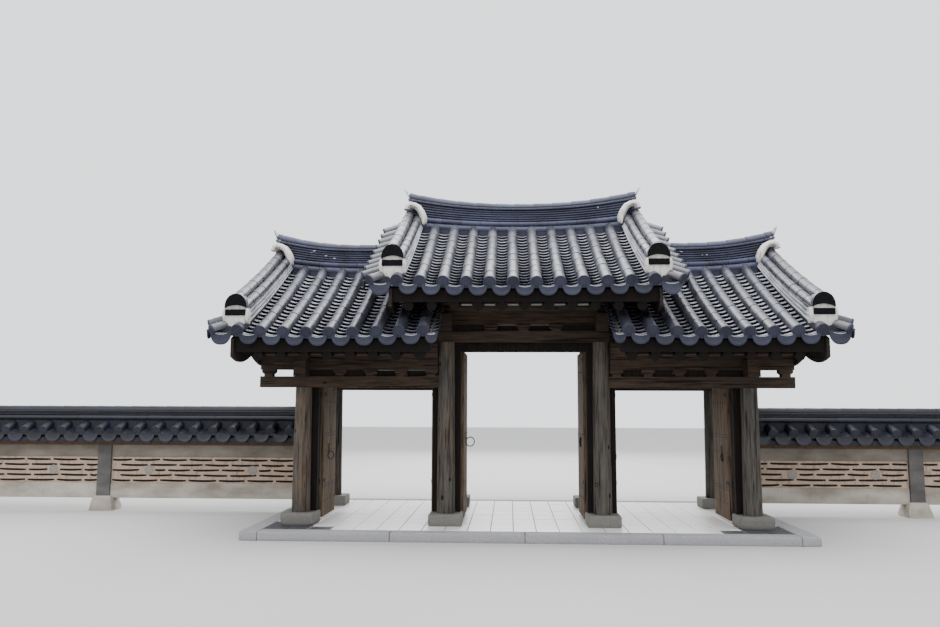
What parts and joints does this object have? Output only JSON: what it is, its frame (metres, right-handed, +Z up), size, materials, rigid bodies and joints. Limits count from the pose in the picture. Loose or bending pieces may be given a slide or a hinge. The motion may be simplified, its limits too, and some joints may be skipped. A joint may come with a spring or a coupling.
{
  "type": "three-bay korean gate",
  "caption": "Timber gate with three bays under tiled gable roofs, the centre one raised, hinged plank leaves and flanking tile-capped walls.",
  "frame": {"origin": "on the ground at the middle of the gate, midway between the front and rear columns of the centre bay", "axes": "+X to the right along the front, +Y to the rear, +Z up"},
  "size_m": [23.061, 5.264, 5.6841],
  "materials": {
    "timber": "weathered, hewn and planed",
    "door_timber": "weathered planks",
    "roof_tile": "fired grey clay",
    "granite": "bush-hammered",
    "paving": "sawn granite slabs",
    "concrete": "weathered cast concrete",
    "wall_plaster": "trowelled plaster with bedded tiles"
  },
  "bodies": {
    "gate": {"base_stone_front_left_inner": "granite", "base_stone_front_left_outer": "granite", "base_stone_front_right_inner": "granite", "base_stone_front_right_outer": "granite", "base_stone_rear_left_inner": "granite", "base_stone_rear_left_outer": "granite", "base_stone_rear_right_inner": "granite", "base_stone_rear_right_outer": "granite", "beam_line_front_centre": "timber", "beam_line_front_left": "timber", "beam_line_front_right": "timber", "beam_line_rear_centre": "timber", "beam_line_rear_left": "timber", "beam_line_rear_right": "timber", "column_front_left_inner": "timber", "column_front_left_outer": "timber", "column_front_right_inner": "timber", "column_front_right_outer": "timber", "column_rear_left_inner": "timber", "column_rear_left_outer": "timber", "column_rear_right_inner": "timber", "column_rear_right_outer": "timber", "door_frame_centre": "door_timber", "door_frame_left": "door_timber", "door_frame_right": "door_timber", "gable_board_left_inner": "timber", "gable_board_left_outer": "timber", "gable_board_right_inner": "timber", "gable_board_right_outer": "timber", "kerb_ring": "granite", "main_ridge_centre": "roof_tile", "main_ridge_left": "roof_tile", "main_ridge_right": "roof_tile", "paved_floor": "paving", "ridge_frame_centre": "timber", "ridge_frame_left": "timber", "ridge_frame_right": "timber", "roof_deck_centre": "timber", "roof_deck_left": "timber", "roof_deck_right": "timber", "roof_tiles_centre": "roof_tile", "roof_tiles_left": "roof_tile", "roof_tiles_right": "roof_tile", "wall_cap_left": "roof_tile", "wall_cap_right": "roof_tile", "wall_frame_left": "concrete", "wall_frame_right": "concrete", "wall_panel_left_1": "wall_plaster", "wall_panel_left_2": "wall_plaster", "wall_panel_right_1": "wall_plaster", "wall_panel_right_2": "wall_plaster"},
    "leaf_left_bay_left": {"door_leaf_left_bay_left": "door_timber"},
    "leaf_left_bay_right": {"door_leaf_left_bay_right": "door_timber"},
    "leaf_centre_bay_left": {"door_leaf_centre_bay_left": "door_timber"},
    "leaf_centre_bay_right": {"door_leaf_centre_bay_right": "door_timber"},
    "leaf_right_bay_left": {"door_leaf_right_bay_left": "door_timber"},
    "leaf_right_bay_right": {"door_leaf_right_bay_right": "door_timber"}
  },
  "joints": [
    {"name": "left_bay_left_hinge", "type": "hinge", "parent": "gate", "child": "leaf_left_bay_left", "pos_m": [-3.2845, -0.881, 0.9], "axis": [0, 0, 1], "range_deg": [-90, 0]},
    {"name": "left_bay_right_hinge", "type": "hinge", "parent": "gate", "child": "leaf_left_bay_right", "pos_m": [-1.412, -0.881, 0.9], "axis": [0, 0, -1], "range_deg": [-90, 0]},
    {"name": "centre_bay_left_hinge", "type": "hinge", "parent": "gate", "child": "leaf_centre_bay_left", "pos_m": [-1.012, -0.881, 0.9], "axis": [0, 0, 1], "range_deg": [-90, 0]},
    {"name": "centre_bay_right_hinge", "type": "hinge", "parent": "gate", "child": "leaf_centre_bay_right", "pos_m": [1.012, -0.881, 0.9], "axis": [0, 0, -1], "range_deg": [-90, 0]},
    {"name": "right_bay_left_hinge", "type": "hinge", "parent": "gate", "child": "leaf_right_bay_left", "pos_m": [1.412, -0.881, 0.9], "axis": [0, 0, 1], "range_deg": [-90, 0]},
    {"name": "right_bay_right_hinge", "type": "hinge", "parent": "gate", "child": "leaf_right_bay_right", "pos_m": [3.2845, -0.881, 0.9], "axis": [0, 0, -1], "range_deg": [-90, 0]}
  ]
}
